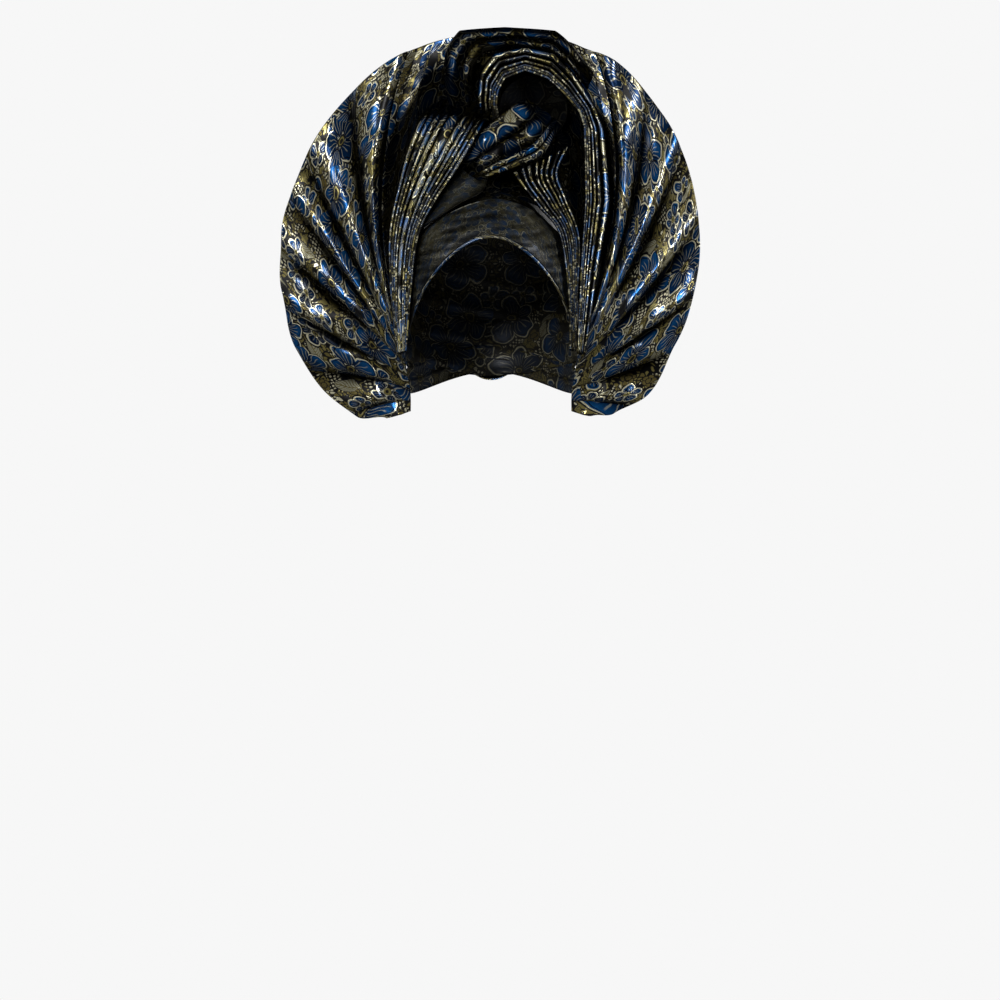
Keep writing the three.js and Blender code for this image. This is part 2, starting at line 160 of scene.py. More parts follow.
def arcs(points, axis):   # running length along one direction of a grid
    step = np.linalg.norm(np.diff(points, axis=axis), axis=-1)
    zero = np.zeros_like(np.take(step, [0], axis))
    return np.cumsum(np.concatenate([zero, step], axis), axis)


def ridgeCloth(points, ridge, start=0):
    # Cloth position measured from each fold's own ridge, so the pattern keeps its size and breaks only
    # inside the creases. ridge is the column number of each fold's ridge.
    across, along = arcs(points, 0), arcs(points, 1)
    def uvOf(fold, i, j):
        mid = ridge[fold]
        return np.stack([across[i, j] - across[mid, j] + 61 * fold, along[mid, j] + 23 * fold + start], -1)
    return uvOf


# materials

def nodeTools(tree):   # short ways to add nodes: each takes sockets or numbers and gives a socket
    def put(kind, inputs=(), **settings):
        node = tree.nodes.new(kind)
        for key, value in settings.items():
            setattr(node, key, value)
        for key, value in dict(inputs).items():
            socket = node.inputs[key]
            if isinstance(value, bpy.types.NodeSocket):
                tree.links.new(value, socket)
            else:
                socket.default_value = value
        return node

    def calc(op, a, b=0.0, c=0.0):
        return put("ShaderNodeMath", {0: a, 1: b, 2: c}, operation=op).outputs[0]

    def vec(op, a, b=(0, 0, 0), scale=1.0):
        node = put("ShaderNodeVectorMath", {0: a, 1: b}, operation=op)
        if op == "SCALE":
            node.inputs["Scale"].default_value = scale
        return node.outputs["Value" if op in ("LENGTH", "DOT_PRODUCT") else 0]

    def step(value, low, high):   # 0 below low, 1 above high
        node = put("ShaderNodeMapRange", {0: value, 1: low, 2: high}, interpolation_type="SMOOTHSTEP")
        return node.outputs[0]

    def below(value, low, high):   # 1 below low, 0 above high
        return calc("SUBTRACT", 1, step(value, low, high))

    def blend(factor, a, b):
        node = put("ShaderNodeMix", data_type="RGBA")
        for key, value in ((0, factor), (6, a), (7, b)):
            if isinstance(value, bpy.types.NodeSocket):
                tree.links.new(value, node.inputs[key])
            else:
                node.inputs[key].default_value = value if key == 0 else (*value, 1)
        return node.outputs[2]
    return put, calc, vec, step, below, blend


brocadeLook = dict(
    bigCell=45, bigSize=24, bigPetals=5, midCell=27, midSize=12.5, midPetals=5, outline=0.9,
    leafCell=27, leafHalf=13, leafWide=5.4, budCell=16, budSize=5.4, speck=3.4, beadCell=2.8, patch=13,
    scroll=15, fullTurn=6.283,
    ink=(0.004, 0.004, 0.0045), gold=(0.30, 0.255, 0.09), paleGold=(0.85, 0.80, 0.55),
    blue=(0.006, 0.085, 0.26), navy=(0.003, 0.022, 0.072), leaf=(0.44, 0.43, 0.31), bud=(0.20, 0.16, 0.055))


def makeBrocade(look):   # floral brocade woven in blue and gold on black, from a cloth position in metres
    tree = bpy.data.node_groups.new("floralBrocade", "ShaderNodeTree")
    tree.interface.new_socket("Cloth", in_out="INPUT", socket_type="NodeSocketVector")
    for name, kind in (("Color", "Color"), ("Woven", "Float"), ("Rough", "Float"), ("Height", "Float")):
        tree.interface.new_socket(name, in_out="OUTPUT", socket_type="NodeSocket" + kind)
    put, calc, vec, step, below, blend = nodeTools(tree)
    cloth = vec("SCALE", put("NodeGroupInput").outputs[0], scale=1000)   # in millimetres
    sway = put("ShaderNodeTexNoise", {"Vector": cloth, "Scale": 0.06, "Detail": 1}, noise_dimensions="2D")
    cloth = vec("ADD", cloth, vec("SCALE", vec("SUBTRACT", sway.outputs["Color"], (0.5, 0.5, 0.5)), scale=9))

    def noise(size, detail, twist=0.0):
        inputs = {"Vector": cloth, "Scale": 1 / size, "Detail": detail, "Distortion": twist}
        return put("ShaderNodeTexNoise", inputs, noise_dimensions="2D").outputs["Fac"]

    def cells(size, shift):   # position from the nearest cell's middle, and the cell's random numbers
        spot = vec("ADD", cloth, (shift, shift * 0.7, 0))
        node = put("ShaderNodeTexVoronoi", {"Vector": spot, "Scale": 1 / size, "Randomness": 0.65},
                   voronoi_dimensions="2D", feature="F1")
        local = put("ShaderNodeSeparateXYZ", {0: vec("SUBTRACT", spot, node.outputs["Position"])})
        chance = put("ShaderNodeSeparateColor", {0: node.outputs["Color"]})
        return local.outputs[0], local.outputs[1], chance.outputs

    def lay(under, mask, tone, woven):   # a colour over the colour so far, and how much is metal thread
        color, metal = under
        change = calc("MULTIPLY", mask, calc("SUBTRACT", woven, metal))
        return blend(mask, color, tone), calc("ADD", metal, change)

    def flower(under, cell, shift, size, petals, least, heartSize):
        # Round petals in a ring: the angle is folded into one petal, and an ellipse gives the edge. Each
        # petal has its own length, and some are missing.
        x, y, chance = cells(cell, shift)
        reach = calc("SQRT", calc("ADD", calc("MULTIPLY", x, x), calc("MULTIPLY", y, y)))
        half = np.pi / petals
        angle = calc("ADD", calc("ARCTAN2", y, x), calc("MULTIPLY", chance[0], look["fullTurn"]))
        turn = calc("WRAP", angle, half, -half)
        which = calc("ROUND", calc("DIVIDE", calc("WRAP", angle, look["fullTurn"] - half, -half), 2 * half))
        mixed = calc("ADD", calc("MULTIPLY", which, 12.9), calc("MULTIPLY", chance[1], 78.0))
        lot = calc("FRACT", calc("MULTIPLY", calc("SINE", mixed), 437.5))   # a random number for each petal
        spread = calc("DIVIDE", reach, calc("ADD", 0.72, calc("MULTIPLY", lot, 0.4)))
        along = calc("SUBTRACT", calc("MULTIPLY", spread, calc("COSINE", turn)), 0.56 * size)
        beside = calc("ABSOLUTE", calc("MULTIPLY", spread, calc("SINE", turn)))
        wide = 0.56 * size * np.tan(half) * 0.95
        lengthwise = calc("POWER", calc("ABSOLUTE", calc("DIVIDE", along, 0.44 * size)), 2)
        oval = calc("SQRT", calc("ADD", lengthwise, calc("POWER", calc("DIVIDE", beside, wide), 2)))
        inside = calc("MULTIPLY", calc("SUBTRACT", 1, oval), wide)   # about millimetres from the petal's edge
        grown = calc("GREATER_THAN", chance[1], least)   # this cell has a flower
        shown = calc("MULTIPLY", grown, calc("GREATER_THAN", lot, 0.12))
        fan = calc("ABSOLUTE", calc("SUBTRACT", calc("FRACT", calc("MULTIPLY", turn, 2.2 / half)), 0.5))
        strokes = calc("MULTIPLY", below(fan, 0.06, 0.14), below(along, 0.05 * size, 0.2 * size))
        deep = calc("MULTIPLY", step(chance[2], 0.1, 0.5), step(along, -0.35 * size, 0.3 * size))
        tone = blend(deep, look["navy"], look["blue"])
        tone = blend(calc("MULTIPLY", strokes, 0.4), tone, look["paleGold"])
        ring = calc("ABSOLUTE", calc("SUBTRACT", inside, 2.6 * look["outline"]))
        tone = blend(below(ring, 0.15, 0.45), tone, look["ink"])
        tone = blend(below(inside, look["outline"], look["outline"] + 0.4), tone, look["paleGold"])
        middle = calc("MULTIPLY", grown, below(reach, 0.5 * size, 0.62 * size))
        under = lay(under, middle, look["ink"], 0.0)
        under = lay(under, calc("MULTIPLY", shown, step(inside, -1.5, -1.1)), look["ink"], 0.0)
        under = lay(under, calc("MULTIPLY", shown, step(inside, -0.1, 0.3)), tone, 1.0)
        heart = calc("MULTIPLY", grown, below(reach, heartSize - 0.4, heartSize))
        pollen = below(calc("ABSOLUTE", calc("SUBTRACT", reach, 0.55 * heartSize)), 0.3, 0.7)
        return lay(under, heart, blend(pollen, look["ink"], look["gold"]), pollen)

    # ground: a mosaic of small gold specks parted by black, with patches of gold scrolls and of pale beads
    def mosaic(size, loose, feature):   # random cells over the cloth, sizes in cells
        at = {"Vector": cloth, "Scale": 1 / size, "Randomness": loose}
        return put("ShaderNodeTexVoronoi", at, voronoi_dimensions="2D", feature=feature).outputs

    edge = mosaic(look["speck"], 0.95, "DISTANCE_TO_EDGE")["Distance"]
    tint = mosaic(look["speck"], 0.95, "F1")["Color"]
    chance = put("ShaderNodeSeparateColor", {0: tint}).outputs[0]
    lit = calc("MULTIPLY", step(edge, 0.12, 0.2), step(chance, 0.46, 0.50))
    tone = blend(step(chance, 0.4, 0.85), look["bud"], look["gold"])
    tone = blend(step(chance, 0.88, 0.90), tone, look["paleGold"])
    ground = blend(lit, look["ink"], tone), lit
    patch = noise(look["patch"], 1, 0.4)
    curl = noise(look["scroll"], 2, 1.1)
    lines = calc("ABSOLUTE", calc("SUBTRACT", calc("FRACT", calc("MULTIPLY", curl, 7)), 0.5))
    scroll = step(lines, 0.14, 0.2)
    ground = lay(ground, step(patch, 0.56, 0.58), blend(scroll, look["ink"], look["gold"]), scroll)
    dot = below(mosaic(look["beadCell"], 0.25, "F1")["Distance"], 0.26, 0.36)
    under = lay(ground, below(patch, 0.40, 0.42), blend(dot, look["ink"], look["paleGold"]), dot)

    # small flowers in brown gold with black strokes
    x, y, chance = cells(look["budCell"], 57)
    reach = calc("SQRT", calc("ADD", calc("MULTIPLY", x, x), calc("MULTIPLY", y, y)))
    turn = calc("ADD", calc("ARCTAN2", y, x), calc("MULTIPLY", chance[0], look["fullTurn"]))
    lobes = calc("ABSOLUTE", calc("COSINE", calc("MULTIPLY", turn, 2.5)))
    outer = calc("MULTIPLY", look["budSize"], calc("ADD", 0.7, calc("MULTIPLY", 0.3, lobes)))
    inside = calc("SUBTRACT", outer, reach)
    shown = calc("GREATER_THAN", chance[1], 0.6)
    ring = step(calc("ABSOLUTE", calc("SUBTRACT", reach, 2.4)), 0.25, 0.55)
    strokes = calc("MULTIPLY", step(lobes, 0.12, 0.3), ring)
    under = lay(under, calc("MULTIPLY", shown, step(inside, -1.0, -0.6)), look["ink"], 0.0)
    tone = blend(strokes, look["ink"], look["bud"])
    under = lay(under, calc("MULTIPLY", shown, step(inside, 0, 0.3)), tone, strokes)

    # leaves: pointed, grey gold, with a mid rib and slanting veins
    x, y, chance = cells(look["leafCell"], 113)
    turn = calc("MULTIPLY", chance[0], look["fullTurn"])
    c, s = calc("COSINE", turn), calc("SINE", turn)
    along = calc("ADD", calc("MULTIPLY", x, c), calc("MULTIPLY", y, s))
    beside = calc("ABSOLUTE", calc("SUBTRACT", calc("MULTIPLY", y, c), calc("MULTIPLY", x, s)))
    slim = calc("POWER", calc("ABSOLUTE", calc("DIVIDE", along, look["leafHalf"])), 2)
    inside = calc("SUBTRACT", calc("MULTIPLY", look["leafWide"], calc("SUBTRACT", 1, slim)), beside)
    shown = calc("GREATER_THAN", chance[1], 0.5)
    slant = calc("FRACT", calc("DIVIDE", calc("SUBTRACT", along, calc("MULTIPLY", beside, 1.6)), 3.1))
    slanting = step(calc("ABSOLUTE", calc("SUBTRACT", slant, 0.5)), 0.08, 0.2)
    veins = calc("MULTIPLY", slanting, step(beside, 0.2, 0.5))
    under = lay(under, calc("MULTIPLY", shown, step(inside, -0.9, -0.5)), look["ink"], 0.0)
    tone = blend(veins, look["bud"], look["leaf"])
    under = lay(under, calc("MULTIPLY", shown, step(inside, 0, 0.3)), tone, 1.0)

    under = flower(under, look["midCell"], 31, look["midSize"], look["midPetals"], 0.3, 2.8)
    color, woven = flower(under, look["bigCell"], 0, look["bigSize"], look["bigPetals"], 0.12, 5.0)

    thread = noise(1.1, 3)
    color = blend(calc("MULTIPLY", step(thread, 0.4, 0.75), 0.3), color, look["ink"])
    out = put("NodeGroupOutput")
    rough = calc("SUBTRACT", 0.42, calc("MULTIPLY", woven, 0.12))
    height = calc("ADD", woven, calc("MULTIPLY", thread, 0.4))
    for name, socket in (("Color", color), ("Woven", woven), ("Rough", rough), ("Height", height)):
        tree.links.new(socket, out.inputs[name])
    return tree


brocadeGroup = makeBrocade(brocadeLook)


def makeCloth(name, finish):   # the brocade, with painted shade in its creases and a painted highlight on its ridges
    material = bpy.data.materials.new(name)
    material.use_nodes = True
    tree = material.node_tree
    put, calc, vec, step, below, blend = nodeTools(tree)
    shader = tree.nodes["Principled BSDF"]
    cloth = vec("SCALE", put("ShaderNodeUVMap", uv_map="cloth").outputs[0], scale=finish["fine"])
    pattern = put("ShaderNodeGroup", {"Cloth": cloth}, node_tree=brocadeGroup)
    fold = put("ShaderNodeAttribute", attribute_name="fold").outputs["Fac"]
    # painted shade: lit darkens colour, metal and gloss where the fold attribute is low; crease is the darkest
    # level, dark the fold range it spans
    lit = calc("ADD", finish["crease"], calc("MULTIPLY", step(fold, *finish["dark"]), 1 - finish["crease"]))
    color = put("ShaderNodeMix", data_type="RGBA", blend_type="MULTIPLY")
    color.inputs[0].default_value = 1
    weave = blend(finish["plain"], pattern.outputs["Color"], finish["ground"])
    # painted highlight: woven threads on ridges and marked edges blend towards a bright pale gold; edge sets
    # how much
    paintedRidgeHighlight = calc("MULTIPLY", step(fold, 0.6, 0.85), calc("MULTIPLY", pattern.outputs["Woven"], finish["edge"]))
    bright = blend(0.3, vec("SCALE", weave, scale=5), brocadeLook["paleGold"])
    tree.links.new(blend(paintedRidgeHighlight, weave, bright), color.inputs[6])
    tree.links.new(lit, color.inputs[7])
    tree.links.new(color.outputs[2], shader.inputs["Base Color"])
    metal = calc("MULTIPLY", pattern.outputs["Woven"], calc("MULTIPLY", lit, finish["metal"]))
    tree.links.new(metal, shader.inputs["Metallic"])
    tree.links.new(calc("MULTIPLY", lit, finish["gloss"]), shader.inputs["Specular IOR Level"])
    tree.links.new(calc("ADD", pattern.outputs["Rough"], finish["rough"]), shader.inputs["Roughness"])
    bump = put("ShaderNodeBump", {"Height": pattern.outputs["Height"], "Strength": 0.25, "Distance": 0.0004})
    tree.links.new(bump.outputs[0], shader.inputs["Normal"])
    return material


# crease, dark and edge set each cloth's painted shade and painted ridge highlight
wingCloth = makeCloth("wingCloth", dict(
    plain=0, ground=(0.01, 0.01, 0.01), fine=1,
    crease=0.02, dark=(0.3, 0.95), edge=0, metal=0.6, rough=-0.1, gloss=0.2))
pleatCloth = makeCloth("pleatCloth", dict(
    plain=0, ground=(0.01, 0.01, 0.01), fine=1,
    crease=0.01, dark=(0.25, 0.6), edge=1, metal=0.45, rough=-0.12, gloss=0.3))
bandCloth = makeCloth("bandCloth", dict(
    plain=0.78, ground=(0.014, 0.015, 0.013), fine=2.4,
    crease=0.1, dark=(0, 0.8), edge=1, metal=0.3, rough=0, gloss=0.5))
wrapCloth = makeCloth("wrapCloth", dict(
    plain=0.45, ground=(0.014, 0.015, 0.013), fine=1,
    crease=0.05, dark=(0, 0.6), edge=0, metal=0.4, rough=0.02, gloss=0.4))
# painted shade: the cup's cloth is made near black to stand for the shadow in the hollow
hollowPaintedShade = makeCloth("hollowPaintedShade", dict(
    plain=0.98, ground=(0.001, 0.001, 0.001), fine=1,
    crease=0.1, dark=(0, 0.8), edge=0, metal=0, rough=0.3, gloss=0.04))

reverseCloth = makeCloth("reverseCloth", dict(   # the back of the weave, duller
    plain=0.65, ground=(0.026, 0.025, 0.019), fine=1,
    crease=0.5, dark=(0, 0.8), edge=0, metal=0.25, rough=0.08, gloss=0.3))
print("materials made")

# the fan's two wings

# the fan's outline: degrees from up, and radius
rim = np.array([(-160, 157.5), (-150, 179), (-143, 192), (-132, 194.5), (-120, 192.5), (-105, 185),
                (-90, 179.5), (-70, 173), (-50, 171.5), (-25, 174.5), (0, 174.5), (25, 181), (35, 184.5),
                (55, 180.5), (80, 178),
                (100, 179.5), (120, 182.5), (135, 190.5), (145, 184), (152, 173), (160, 159.5)])
fanCentreZ = 55

leftWing = dict(
    # root x, z, middle x, z, rim angle, height, sunk behind the rest, where the crease below it lies
    folds=[(-69, -94, -81, -98, -150, 3, 0, 0.5), (-69, -82, -100, -84, -139, 9, 0, 0.75),
           (-70, -72, -115, -58, -122, 11, 0, 0.75), (-72, -62, -126, -29, -105.5, 12, 0, 0.75),
           (-73, -53, -124, 2, -90, 12, 0, 0.75), (-74.5, -47, -121, 24, -75, 12, 0, 0.75),
           (-76.4, -41, -112, 50, -58, 14, 0, 0.5), (-77, -34, -100, 88, -30, 15, 0, 0.5),
           (-77, -16, -86, 100, -21, 0, 8, 0.5), (-63.5, 43, -72, 130, -17, 0, 5, 0.5),
           (-42, 79, -52, 168, -13, 0, 4, 0.5), (7.5, 86, 14, 172, 9, 0, 0, 0.5)],
    hidden=7, seed=1)
rightWing = dict(
    folds=[(69, -94, 83, -98, 150, 3, 0, 0.5), (69, -82, 104, -82, 137, 10, 0, 0.75),
           (70, -72, 115, -54, 118, 11, 0, 0.75), (72, -62, 124, -26, 103, 12, 0, 0.75),
           (73, -53, 127, 10, 81, 13, 0, 0.75), (74.5, -43, 120, 44, 60, 14, 0, 0.75),
           (77, -34, 111, 84, 35, 12, 0, 0.5), (77, -16, 101, 104, 26, 0, 5, 0.5),
           (63, 43, 86, 132, 21, 0, 5, 0.5), (42, 77, 62, 164, 15, 0, 3, 0.5),
           (-4, 88, 4, 172, 2, 0, 6, 0.5)],
    hidden=6, seed=2, flip=True)
wingSteps = dict(perFold=26, along=120)
wingRise = [0.05, 0.35, 0.9, 1, 0.75, 0.5]   # share of a fold's height from root to rim


def rimPoint(angle):   # the outline's radius eased between its rows, then turned by the angle
    k = np.clip(np.searchsorted(rim[:, 0], angle) - 1, 0, len(rim) - 2)
    share = (angle - rim[k, 0]) / (rim[k + 1, 0] - rim[k, 0])
    radius = mix(rim[k, 1], rim[k + 1, 1], smooth(share))
    return np.stack([radius * np.sin(np.radians(angle)), fanCentreZ + radius * np.cos(np.radians(angle))], -1)


def makeWing(name, wing, material):
    # Each row is a ridge from root through middle to rim. Going up from a ridge the cloth falls to a crease
    # as 1 - share^1.7 and climbs to the next ridge as 1 - share^2.4, and the whole follows the dish.
    rows = np.array(wing["folds"], float)
    last = len(rows) - 1
    at = np.linspace(0, last, last * wingSteps["perFold"] + 1)
    t = np.linspace(0, 1, wingSteps["along"] + 1)
    lines = spline(rows[:, :5], at)
    root, middle, edge = lines[:, None, 0:2], lines[:, None, 2:4], rimPoint(lines[:, 4])[:, None]
    tt = t[None, :, None]
    place = root * (2 * tt - 1) * (tt - 1) + middle * 4 * tt * (1 - tt) + edge * tt * (2 * tt - 1)
    x, z = place[..., 0], place[..., 1]
    k = np.clip(np.floor(at).astype(int), 0, last - 1)
    u, crease = at - k, rows[k + 1, 7]
    lower = u <= crease
    away = np.where(lower, u / crease, (1 - u) / (1 - crease))
    fold = (1 - away**np.where(lower, 1.7, 2.4))[:, None]
    owner = np.where(lower, k, k + 1)
    height = rows[owner, 5][:, None]
    sunk = np.interp(at, np.arange(last + 1), rows[:, 6])[:, None]
    rise = runs(wingRise, t)[None]
    rootSink = 2.5 * (1 - smooth(t / 0.35))[None]
    broad, small = ripple(x, z, 70, wing["seed"]), ripple(x, z, 26, wing["seed"] + 5)
    uneven = (1.5 * broad + 0.4 * small) * smooth(t * 2)[None]
    points = np.stack([x, dishY(x, z) + rootSink + sunk - height * rise * fold - uneven, z], -1)
    steep = np.clip(height / 12, 0, 1) * np.clip(rise, 0, 1)
    # painted shadow: the rows behind the pleats are darker towards the root
    behind = np.clip(at - wing["hidden"], 0, 1)[:, None] * (1 - smooth((t - 0.6) / 0.3))[None]
    # painted shade: darker in each crease of a tall fold, and in the painted shadow behind the pleats
    depth = mix(1, fold, steep) * (1 - behind)
    strip = owner[:-1]
    ridge = np.arange(last + 1) * wingSteps["perFold"]
    if wing.get("flip"):   # so that the face looks forward
        points, depth, strip, ridge = points[::-1], depth[::-1], strip[::-1], len(at) - 1 - ridge
    return clothMesh(name, points, strip, ridgeCloth(points, ridge), depth, material)


pieces = {}
pieces["left_wing"] = makeWing("leftWing", leftWing, wingCloth)
pieces["right_wing"] = makeWing("rightWing", rightWing, wingCloth)
print("wings made")

# bundles of fine pleats

pleatSide = np.array([0, 0.03, 0.07, 0.13, 0.22, 0.38, 0.6, 0.8])   # columns from a ridge down to its crease
foldSide = np.linspace(0, 1, 15)[:-1]


def makeBundle(name, bundle, material):
    # Pleats between guide lines: a Catmull-Rom through each guide's stations, straight across the guides.
    # Across a pleat, a pressed ridge is sqrt(1 + tip^2) - sqrt(d^2 + tip^2) with d from 0 on the ridge to 1
    # in the crease, and a full fold is 1 - d^2. The ridge leans to one side of its pleat.
    guides, widths, seed, lean = bundle["guides"], bundle["widths"], bundle["seed"], bundle["lean"]
    folds = len(widths)
    side = pleatSide if bundle["pressed"] else foldSide
    column = np.concatenate([lean * (1 - np.append(side, 1))[::-1], lean + (1 - lean) * side[1:]])
    f = np.append((np.arange(folds)[:, None] + column).ravel(), folds)
    number = np.minimum(np.floor(f), folds - 1)
    t = np.linspace(0, 1, bundle["along"] + 1)
    paths = np.array([g["path"] for g in guides], float).transpose(1, 0, 2)
    at = t * (len(paths) - 1)
    low = np.minimum(at.astype(int), len(paths) - 2)
    straight = mix(paths[low], paths[low + 1], (at - low)[:, None, None])
    lines = mix(spline(paths, at), straight, bundle.get("kinked", 0)).transpose(1, 0, 2)
    lifts = np.stack([runs(g["lift"], t) for g in guides])
    bend = np.sin(number[:, None] * 2.3 + seed + t[None] * 5)
    sway = bundle["sway"] * bend * np.sin(np.pi * (f - number))[:, None]
    edges = np.concatenate([[0], np.cumsum(widths) / np.sum(widths)])
    across = np.interp(f[:, None] + sway, np.arange(folds + 1), edges) * (len(guides) - 1)
    k = np.clip(np.floor(across).astype(int), 0, len(guides) - 2)
    row = np.broadcast_to(np.arange(len(t)), across.shape)
    place = mix(lines[k, row], lines[k + 1, row], (across - k)[..., None])
    lift = mix(lifts[k, row], lifts[k + 1, row], across - k)
    x, z = place[..., 0], place[..., 1]
    share = f - number
    d = np.where(share < lean, (lean - share) / lean, (share - lean) / (1 - lean))[:, None]
    tip = 0.22
    pressed = (np.sqrt(1 + tip**2) - np.sqrt(d**2 + tip**2)) / (np.sqrt(1 + tip**2) - tip)
    fold = pressed if bundle["pressed"] else 1 - d**2
    taller = 1 + 0.2 * np.sin(number[:, None] * 1.9 + seed * 2 + t[None] * 2.5)   # no two pleats alike
    height = runs(bundle["height"], t)[None] * taller
    valley = runs(bundle["valley"], t)[None]
    tuck = bundle.get("tuck", 0) * smooth((t - 0.88) / 0.12)[None]   # the tip goes behind its neighbours
    uneven = 0.5 * ripple(x, z, 38, seed) * smooth(t * 3)[None]
    points = np.stack([x, baseY(x, z) - lift + valley + tuck - (height + valley) * fold - uneven, z], -1)
    # painted shade of each pleat
    shade = np.asarray(bundle.get("shade", [1] * folds))[number.astype(int)][:, None]
    fadeIn, fadeOut = bundle.get("fade", (0, 0))   # share of the run that painted shade darkens at the root and the tip
    seen = smooth(t / (fadeIn + 1e-6)) * smooth((1 - t) / (fadeOut + 1e-6))
    # painted shade: darker in each crease, and thin narrows the lit ridge
    depth = fold**bundle["thin"] * shade * seen[None]
    strip = number[:-1].astype(int)
    ridge = np.searchsorted(f, np.arange(folds) + lean - 1e-6)
    if bundle.get("flip"):   # so that the face looks forward
        points, depth, strip, ridge = points[::-1], depth[::-1], strip[::-1], len(f) - 1 - ridge
    uvOf = ridgeCloth(points, ridge, bundle.get("start", 0))
    return clothMesh(name, points, strip, uvOf, depth, material)


leftPleats = dict(
    widths=[1.1, 1.1, 1.1, 1.3, 2.0, 1.1, 0.8, 0.75, 0.7, 0.7], lean=0.55, along=150, height=[1, 5, 8, 2],
    valley=[0.5, 3, 3, 0], sway=0.1, pressed=True, thin=0.35, tuck=22, fade=(0, 0.2), seed=3, guides=[
        dict(path=[(-80, -46), (-85, 8), (-86, 57), (-78, 98), (-69, 133), (-52, 172)], lift=[6, 7, 12, 12]),
        dict(path=[(-76, -46), (-78, 9), (-75, 51), (-65, 88), (-46, 130), (-23, 172)], lift=[5, 8, 16, 30]),
        dict(path=[(-71.5, -45), (-66.5, 8), (-61, 52), (-46, 83), (-26, 113), (7, 171)],
             lift=[4, 7, 14, 40])])
innerPleats = dict(
    widths=[1.2, 1.1, 1, 1, 1, 1, 1, 1], lean=0.5, along=120, height=[0.8, 5.5, 6], valley=[0.5, 2, 2],
    sway=0.1, pressed=True, thin=1.8, shade=[0.75] * 8, seed=4, flip=True, guides=[
        dict(path=[(71.4, -45), (73.2, 8), (75, 52), (64, 86), (58, 108), (68, 132)], lift=[3.5, 5, 9]),
        dict(path=[(69, -45), (69, 8), (67, 53), (53, 81), (42, 101), (42, 117)], lift=[3.5, 5, 9]),
        dict(path=[(66.5, -44), (65, 6), (57, 54), (41, 75), (26, 93), (17, 106)], lift=[3.5, 5, 9])])
rightPleats = dict(
    widths=[2.8, 1.9, 1.3, 1, 0.8, 0.8], lean=0.5, along=200, height=[0.9, 8, 5.5], valley=[0.5, 3, 3],
    sway=0.1, pressed=True, thin=1.4, shade=[0.78] * 6, kinked=0.85, fade=(0, 0.12),
    seed=5, flip=True, guides=[
        dict(path=[(80, -47), (91, 25), (102, 85), (97, 145), (89, 166), (72, 193), (54, 212), (29, 217),
                   (3, 212), (-10, 195), (-12, 172), (-10, 150)], lift=[8, 11, 18, 18, 18]),
        dict(path=[(73, -47), (75.5, 25), (79.5, 85), (79, 146), (75, 160), (62, 175), (48, 188), (29, 195),
                   (12, 188), (6, 176), (5, 165), (7, 153)], lift=[5, 8, 17, 17, 17])])
crestFold = dict(
    widths=[1.2, 1], lean=0.55, along=160, height=[4.5, 5, 4.5], valley=[1, 1, 1], sway=0.1, pressed=True,
    thin=1, shade=[0.56, 0.52], kinked=0.75, fade=(0.1, 0.25), seed=6, flip=True, guides=[
        dict(path=[(88, 194), (70, 218), (55, 231), (12, 234), (-27, 231), (-39, 214), (-41, 190), (-36, 166)],
             lift=[11.7, 11.7]),
        dict(path=[(82, 180), (66, 201), (48, 213), (18, 216), (-6, 212), (-15, 199), (-16, 178), (-13, 157)],
             lift=[11.7, 11.7])])
rosetteTongue = dict(
    widths=[1.4, 1.2, 0.5, 0.5], lean=0.35, along=110, height=[0.5, 4.5, 2], valley=[0.5, 2.5, 0.5],
    sway=0.1, pressed=True, thin=0.6, shade=[1, 0.6, 0.95, 0.8], fade=(0.15, 0.2), start=140, seed=7, guides=[
        dict(path=[(-31, 117), (-9, 142), (9, 157), (29, 172)], lift=[12.6, 26, 29, 18.5]),
        dict(path=[(-21, 107), (9, 128), (30, 141), (47, 160)], lift=[11.6, 25, 27.5, 18.5]),
        dict(path=[(-10, 99), (21, 110), (44, 121), (60, 149)], lift=[10.6, 24, 26.5, 20])])
underFold = dict(
    widths=[1], lean=0.5, along=90, height=[0, 0.5, 0], valley=[0, 0, 0], sway=0, pressed=False, thin=1,
    shade=[0.45], seed=8, guides=[
        dict(path=[(-66, 56), (-54, 74), (-35, 99), (-14, 131)], lift=[4.4, 5.4, 7.4, 9.5]),
        dict(path=[(-58, 59), (-27, 79), (-6, 92), (-1, 123)], lift=[4.4, 5.4, 7.4, 9])])

pieces["left_pleats"] = makeBundle("leftPleats", leftPleats, pleatCloth)
pieces["inner_pleats"] = makeBundle("innerPleats", innerPleats, pleatCloth)
pieces["right_pleats"] = makeBundle("rightPleats", rightPleats, pleatCloth)
pieces["crest_fold"] = makeBundle("crestFold", crestFold, wingCloth)
pieces["rosette_tongue"] = makeBundle("rosetteTongue", rosetteTongue, wingCloth)
pieces["under_fold"] = makeBundle("underFold", underFold, bandCloth)
print("pleats and rosette made")


def plainCloth(points):   # cloth position of a sheet with no folds of its own: running lengths
    across, along = arcs(points, 0), arcs(points, 1)
    def uvOf(fold, i, j):
        return np.stack([across[i, along.shape[1] // 2], along[across.shape[0] // 2, j]], -1)
    return uvOf


cup = dict(centre=(36, 163), half=(29, 28.5), lift=12.4, deep=9)


def makeCup():   # a bowl: the dish less lift, sunk by deep * (1 - r^2) towards its middle
    turn = np.linspace(0, 2 * np.pi, 145)[:, None]
    t = np.linspace(0, 1, 41)[None]
    x = cup["centre"][0] + cup["half"][0] * (1 - t) * np.cos(turn)
    z = cup["centre"][1] + cup["half"][1] * (1 - t) * np.sin(turn)
    y = baseY(x, z) - cup["lift"] + cup["deep"] * (1 - (1 - t)**2) - 0.8 * np.sin(5 * turn + 6 * t) * (1 - t)
    points = np.stack([x, y, z], -1)
    def flat(fold, i, j):
        return points[i, j][:, (0, 2)]
    # painted shade: the hollow is darkened all over
    depth = np.full(x.shape, 0.3)
    return clothMesh("rosetteCup", points, np.zeros(144, int), flat, depth, hollowPaintedShade, ring=True, pole=True)


